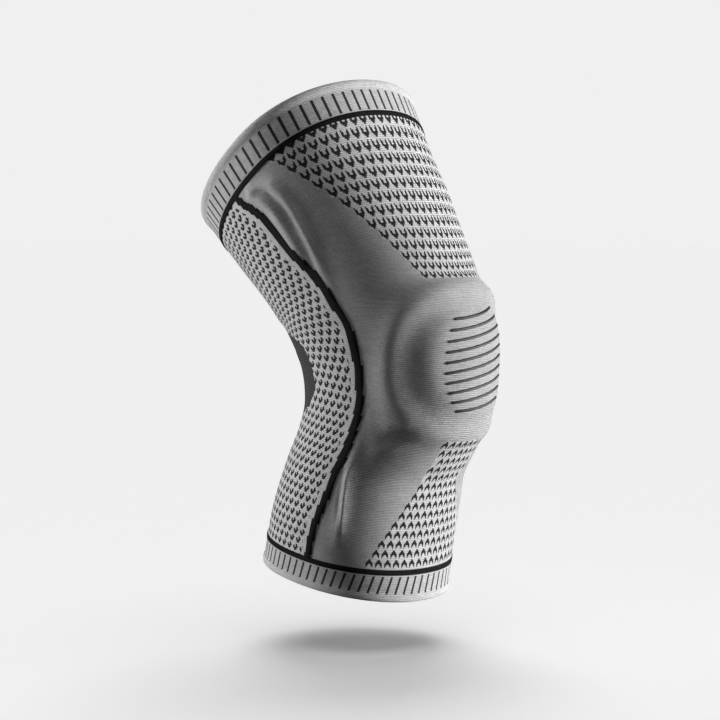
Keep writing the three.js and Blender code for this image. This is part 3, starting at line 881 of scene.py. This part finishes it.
black_knit = black_knit_material()
line_middles = trim_angle_at(share_of(row_lines))[:, None]
line_half = trim_edge(row_lines, 1)[:, None] - line_middles
for side, hand in ((1, "right"), (-1, "left")):
    wales = np.sort(side * np.arange(back_reach, trim_reach + 1))
    from_front = np.abs(wales[:-1] + 0.5)
    cells = (from_front > front_edge) & (from_front < rear_edge)
    off_middle = (np.abs(wale_angles(row_lines, wales)) - line_middles) / line_half
    crown = 1 - (1 - trim_edge_rise) * np.clip(np.abs(off_middle), 0, 1) ** 4
    line = knit_piece(
        f"side_line_{hand}", row_lines, wales, cells, trim_rise * crown, -knit_wall, back_courses,
        black_knit,
    )
    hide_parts(f"side_trim_{hand}")

# A thin black ring closes off the panels at each end, and a pale ribbed cuff is knitted on to
# it, with short dark upright ticks and a plain lip that rolls over at the rim.
band_rise = 0.0006
cuff_wall = 0.0028
cuff_rise = 0.0005
thigh_cuff_height = 0.0205
calf_cuff_height = 0.0158
lip_height = 0.005
lip_roll = 0.0004
lip_rounding = 0.0011
piece_gap = 0.00036
tick_pitch = 8
tick_half_width = 1.05
tick_start = 0.8
lip_start = 0.8
cuff_courses_per_metre = 1000
cuff_yarn = (0.31, 0.31, 0.314)
lip_yarn = (0.34, 0.34, 0.344)
tick_yarn = (0.014, 0.014, 0.015)
hoop_wales = np.arange(-half_round, half_round + 1)


def cuff_material(name, tick_end, lean):
    """Pale rib with a dark tick every eight wales. The ticks lean by some wales a course."""
    material, tree, shader, stitch = knit_shader(name, 0.9, 0.04)
    spot = stitch_place(tree)
    leaning = calc(tree, "MULTIPLY_ADD", spot.outputs["Y"], lean, spot.outputs["X"])
    from_tick = calc(tree, "PINGPONG", leaning, tick_pitch / 2)
    near = calc(tree, "LESS_THAN", from_tick, tick_half_width)
    started = calc(tree, "GREATER_THAN", spot.outputs["Y"], tick_start)
    going = calc(tree, "LESS_THAN", spot.outputs["Y"], tick_end)
    tick = calc(tree, "MULTIPLY", near, calc(tree, "MULTIPLY", started, going))
    lip = calc(tree, "GREATER_THAN", spot.outputs["Y"], tick_end + lip_start)
    ground = mix_colour(tree, lip, cuff_yarn, lip_yarn)
    colour = mix_colour(tree, tick, ground, tick_yarn)
    finish_knit(tree, shader, stitch, colour, 0.0004, 1.0)
    return material


for name, edge, rim, height, tick_end, lean, relaxed_round in (
    ("thigh", panels_top, thigh_length, thigh_cuff_height, 14.0, 0.0, 0.4),
    ("calf", panels_bottom, -calf_length, calf_cuff_height, 11.2, -0.45, 0.31),
):
    way = math.copysign(1, rim)
    start = rim - way * (height + piece_gap)
    stations = np.sort(np.linspace(edge, start, 4))
    middle = (edge + start) / 2
    crown = 1 - np.abs(stations - middle) / abs(edge - start) * 0.6
    ring = knit_piece(
        name + "_ring_knit", stations, hoop_wales, np.ones((3, wales_round), bool),
        band_rise * crown[:, None], -knit_wall, front_courses, black_knit,
    )
    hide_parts(name + "_trim_band")

    from_rim = np.concatenate([
        np.linspace(0, lip_rounding, 4),
        np.linspace(0.0017, lip_height, 6),
        np.linspace(lip_height + 0.0009, abs(rim - start), 12),
    ])
    round_off = lip_rounding - np.sqrt(
        np.maximum(lip_rounding**2 - np.maximum(lip_rounding - from_rim, 0) ** 2, 0)
    )
    roll = lip_roll * np.sin(np.pi * np.clip(from_rim / lip_height, 0, 1))
    rise = np.where(from_rim > lip_height, cuff_rise * 0.4, cuff_rise + roll) - round_off
    under = cuff_rise - cuff_wall + round_off
    stations = rim - way * from_rim
    order = np.argsort(stations)

    def cuff_courses(station, wale, start=start):
        return np.abs(station - start) * cuff_courses_per_metre + 0 * wale

    cuff = knit_piece(
        name + "_cuff_knit", stations[order], hoop_wales,
        np.ones((len(order) - 1, wales_round), bool), rise[order][:, None],
        under[order][:, None], cuff_courses, cuff_material(name + "_cuff_rib", tick_end, lean),
    )
    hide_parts(name + "_cuff")

# Ten smooth black grip lines are printed on the kneecap in silicone, as shallow arcs that fill
# an oval. Each is half round across, with round ends.
grip_line_count = 10
grip_line_pitch = 0.0059
grip_line_width = 0.0017
grip_line_rise = 0.0006
grip_line_depth = 0.0001
grip_line_sag = 0.0015
grip_line_slant = 0.0045
grip_field_half_width = 0.028
grip_field_half_height = 0.037
grip_field_drop = 0.004
place_rounds = 12
first_degrees_per_metre = 1000
strip_sharp_angle = 60
round_end_limit = 0.98
crown_limit = 1.02


def from_kneecap(across, up):
    """The station and angle of a place that is given from the kneecap's centre."""
    station = kneecap_station + up / 2
    angle = across * first_degrees_per_metre
    for _ in range(place_rounds):
        here = kneecap_place(station, angle)
        higher = kneecap_place(station + nearby, angle)
        further = kneecap_place(station, angle + one_degree)
        by_station = [(a - b) / nearby for a, b in zip(higher, here)]
        by_angle = [a - b for a, b in zip(further, here)]
        determinant = by_angle[0] * by_station[1] - by_station[0] * by_angle[1]
        left = [across - here[0], up - here[1]]
        angle = angle + (left[0] * by_station[1] - left[1] * by_station[0]) / determinant
        station = station + (left[1] * by_angle[0] - left[0] * by_angle[1]) / determinant
    return station, angle


def strip_piece(name, along, across, places, tops, bottoms, material, closed=False):
    """A thin closed strip. places, tops and bottoms take arrays of where a corner lies along and
    across it, both from -1 to 1, and give its place on the skin and its heights."""
    mesh_shape = bmesh.new()
    bmesh.ops.create_grid(mesh_shape, x_segments=along, y_segments=across, size=1)
    flat = np.array([vert.co[:2] for vert in mesh_shape.verts])
    inner_faces = mesh_shape.faces[:]
    inner_verts = mesh_shape.verts[:]
    grown = bmesh.ops.extrude_face_region(mesh_shape, geom=inner_faces, use_keep_orig=True)
    outer_verts = [part for part in grown["geom"] if isinstance(part, bmesh.types.BMVert)]
    flat_of = {tuple(np.round(vert.co[:2], 5)): k for k, vert in enumerate(inner_verts)}
    if closed:
        open_seam(mesh_shape, lambda vert: round(vert.co.x, 5))
    station, angle = places(flat[:, 0], flat[:, 1])
    above = skin_point(station, angle, tops(flat[:, 0], flat[:, 1], station, angle), False)
    below = skin_point(station, angle, bottoms(flat[:, 0], flat[:, 1], station, angle), False)
    for vert in outer_verts:
        vert.co = above[flat_of[tuple(np.round(vert.co[:2], 5))]]
    for k, vert in enumerate(inner_verts):
        vert.co = below[k]
    face_outward(mesh_shape)
    return finish_piece(name, to_mesh(mesh_shape, name), strip_sharp_angle, material)


def moulded_material(name, scale, dark, light, depth, settings):
    """Silicone or gel, a little uneven in colour and surface."""
    material, tree, shader = new_material(name)
    for socket, value in settings:
        shader.inputs[socket].default_value = value
    place = tree.nodes.new("ShaderNodeTexCoord")
    grain = tree.nodes.new("ShaderNodeTexNoise")
    grain.inputs["Scale"].default_value = scale
    tree.links.new(place.outputs["Object"], grain.inputs["Vector"])
    tree.links.new(mix_colour(tree, grain.outputs["Fac"], dark, light), shader.inputs["Base Color"])
    add_relief(tree, shader, grain.outputs["Fac"], depth)
    return material


def half_width(along, width, reach):
    """Half a strip's width, with round ends, at a place from -1 to 1 along its reach."""
    round_end = width / 2 / reach
    to_end = np.clip((np.abs(along) - (1 - round_end)) / round_end, 0, round_end_limit)
    return width / 2 * np.sqrt(1 - to_end**2)


grip = moulded_material(
    "grip_silicone", 900, (0.004, 0.004, 0.0045), (0.009, 0.009, 0.0095), 0.00008,
    [("Roughness", 0.6), ("Specular IOR Level", 0.2)],
)
for number in range(1, grip_line_count + 1):
    level = ((grip_line_count + 1) / 2 - number) * grip_line_pitch
    reach = grip_field_half_width * math.sqrt(1 - (level / grip_field_half_height) ** 2)

    def grip_places(along, across, level=level, reach=reach):
        half = half_width(along, grip_line_width, reach)
        sag = grip_line_sag * (1 - along**2) - grip_line_sag / 3
        slant = grip_line_slant * along * reach / grip_field_half_width
        up = level - grip_field_drop - sag - slant + across * half
        return from_kneecap(along * reach, up)

    line = strip_piece(
        f"grip_line_{number}", 60, 6, grip_places,
        lambda along, across, station, angle: grip_line_rise * np.sqrt(crown_limit - across**2),
        lambda along, across, station, angle: -grip_line_depth + 0 * along,
        grip,
    )
    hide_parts(f"knee_line_{number}")

# The kneecap's pad is a soft ring of moulded gel behind the raised ring, held between the knit
# and the leg. It is thickest along the middle of its width.
pad_width = 0.013
pad_depth = 0.0018
pad_clearance = 0.0005
pad_crown = 0.45
pad_edge_drop = 0.0003
pad_lower_share = 0.72
pad_edge_limit = 1.05


def pad_places(along, across):
    turn = -np.pi * along
    out = across * pad_width / 2
    wide = squared_off(np.cos(turn), ring_squareness)
    high = squared_off(np.sin(turn), ring_squareness)
    return from_kneecap((ring_half_width + out) * wide, (ring_half_height + out) * high - ring_drop)


def pad_top(along, across, station, angle):
    raised = np.maximum(relief(station, angle), 0)
    return -knit_wall - pad_clearance - raised * pad_crown - pad_edge_drop * across**2


def pad_bottom(along, across, station, angle):
    thick = pad_depth * pad_lower_share * np.sqrt(pad_edge_limit - across**2)
    return -knit_wall - pad_clearance - relief(station, angle) - thick


gel = moulded_material(
    "gel_ring", 160, (0.25, 0.25, 0.26), (0.33, 0.33, 0.34), 0.0001,
    [("Roughness", 0.4), ("Subsurface Weight", 0.25), ("Subsurface Scale", 0.002)],
)
pad = strip_piece("gel_ring", 160, 8, pad_places, pad_top, pad_bottom, gel, closed=True)
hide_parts("patella_pad")

# A flat spring steel stay lies in each side's pocket, against the inner face of the knit. Its
# ends are rounded so that they don't wear through.
stay_above = 0.096
stay_below = 0.112
stay_width = 0.007
stay_thickness = 0.0012
stay_clearance = 0.0005
stay_angle_at = smooth_curve([
    [-0.74, 71], [-0.6, 71.5], [-0.4, 74], [-0.2, 77], [0.1, 81], [0.3, 84.5], [0.5, 86.5],
    [0.75, 91],
])


def stay_places(side):
    def places(along, across):
        middle = (stay_above - stay_below) / 2
        reach = (stay_above + stay_below) / 2
        station = middle + along * reach
        half = half_width(along, stay_width, reach)
        line = stay_angle_at(share_of(station))
        return station, side * (line + across * degrees_for(half, station, line))

    return places


def stay_top(along, across, station, angle):
    return -knit_wall - stay_clearance - relief(station, angle)


def stay_bottom(along, across, station, angle):
    return stay_top(along, across, station, angle) - stay_thickness


def steel_material():
    material, tree, shader = new_material("stay_steel")
    shader.inputs["Metallic"].default_value = 1
    place = tree.nodes.new("ShaderNodeTexCoord")
    stretched = tree.nodes.new("ShaderNodeMapping")
    stretched.inputs["Scale"].default_value = (3000, 3000, 60)
    grain = tree.nodes.new("ShaderNodeTexNoise")
    tree.links.new(place.outputs["Object"], stretched.inputs["Vector"])
    tree.links.new(stretched.outputs[0], grain.inputs["Vector"])
    dark, light = (0.42, 0.43, 0.44), (0.58, 0.59, 0.6)
    tree.links.new(mix_colour(tree, grain.outputs["Fac"], dark, light), shader.inputs["Base Color"])
    worn = calc(tree, "MULTIPLY_ADD", grain.outputs["Fac"], 0.2, 0.25)
    tree.links.new(worn, shader.inputs["Roughness"])
    return material


steel = steel_material()
for side, hand in ((1, "right"), (-1, "left")):
    stay = strip_piece(f"stay_{hand}", 120, 2, stay_places(side), stay_top, stay_bottom, steel)
    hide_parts(f"side_stay_{hand}")

# The studio: a pale floor under the sleeve and an equally pale background. The sleeve is lit from
# its front and, less, from its back, so that its side is darker. The floor has a light of its
# own, half from a broad sky straight above and half from a narrower one behind the sleeve.
floor_height = -0.188
floor_half = 30
pale = 0.87
shadow_light = 0.24
floor_shape = bmesh.new()
bmesh.ops.create_grid(floor_shape, x_segments=2, y_segments=2, size=floor_half)
bmesh.ops.translate(floor_shape, vec=(0, 0, floor_height), verts=floor_shape.verts)
floor_mesh = to_mesh(floor_shape, "floor")
floor = bpy.data.objects.new("floor", floor_mesh)
scene.collection.objects.link(floor)
floor.visible_diffuse = False
floor.visible_glossy = False
floor.visible_shadow = False
floor_material, _, floor_paint = new_material("pale_floor")
for socket, value in (
    ("Base Color", (1, 1, 1, 1)),
    ("Roughness", 1),
    ("Specular IOR Level", 0),
    ("Emission Color", (1, 1, 1, 1)),
    ("Emission Strength", shadow_light),
):
    floor_paint.inputs[socket].default_value = value
floor_mesh.materials.append(floor_material)

world = bpy.data.worlds.new("studio")
scene.world = world
world.use_nodes = True
world.node_tree.nodes["Background"].inputs["Color"].default_value = (pale, pale, pale, 1)
world.cycles_visibility.diffuse = False
world.cycles_visibility.glossy = False

floor_only = bpy.data.collections.new("floor_only")
floor_only.objects.link(floor)
sleeve_only = bpy.data.collections.new("sleeve_only")
sleeve_only.objects.link(floor)
sleeve_only.collection_objects[0].light_linking.link_state = "EXCLUDE"

azimuth = math.radians(52)
elevation = math.radians(2.66)
distance = 1.3
from_camera = np.array([
    math.sin(azimuth) * math.cos(elevation),
    math.cos(azimuth) * math.cos(elevation),
    -math.sin(elevation),
])
to_right = np.array([math.cos(azimuth), -math.sin(azimuth), 0])
upright = np.array([0, 0, 1])


def hang_lamp(name, kind, energy, place, receivers):
    """A lamp aimed at the sleeve's middle, that lights only some of the objects."""
    light = bpy.data.lights.new(name, kind)
    light.energy = energy
    lamp = bpy.data.objects.new(name, light)
    lamp.location = place
    lamp.rotation_mode = "QUATERNION"
    lamp.rotation_quaternion = Vector(-place).to_track_quat("-Z", "Y")
    lamp.light_linking.receiver_collection = receivers
    scene.collection.objects.link(lamp)
    return light


for name, lean, spread in (("sky_above", 0, 70), ("sky_behind", math.radians(35), 34)):
    energy = (pale - shadow_light) * math.pi / 2 / math.cos(lean)
    place = upright * math.cos(lean) + from_camera * math.sin(lean)
    hang_lamp(name, "SUN", energy, place, floor_only).angle = math.radians(spread)

for name, right, near, up, power, size in (
    ("key", 1.0, -0.08, -0.02, 40.0, 0.7),
    ("fill", -1.0, -0.2, 0.15, 23.0, 0.6),
    ("soft", -0.1, 1.0, 0.3, 2.6, 0.9),
    ("top", 0.0, 0.1, 1.0, 2.5, 1.0),
):
    place = right * to_right - near * from_camera + up * upright
    disk = hang_lamp(name, "AREA", power, place, sleeve_only)
    disk.shape = "DISK"
    disk.size = size

camera_data = bpy.data.cameras.new("camera")
camera_data.sensor_width = 36
camera_data.lens = 108.33
camera_data.shift_x = -0.0421
camera_data.shift_y = -0.0395
camera = bpy.data.objects.new("camera", camera_data)
camera.location = -from_camera * distance
camera.rotation_mode = "QUATERNION"
camera.rotation_quaternion = Vector(from_camera).to_track_quat("-Z", "Y")
scene.collection.objects.link(camera)
scene.camera = camera
scene.view_settings.view_transform = "Standard"
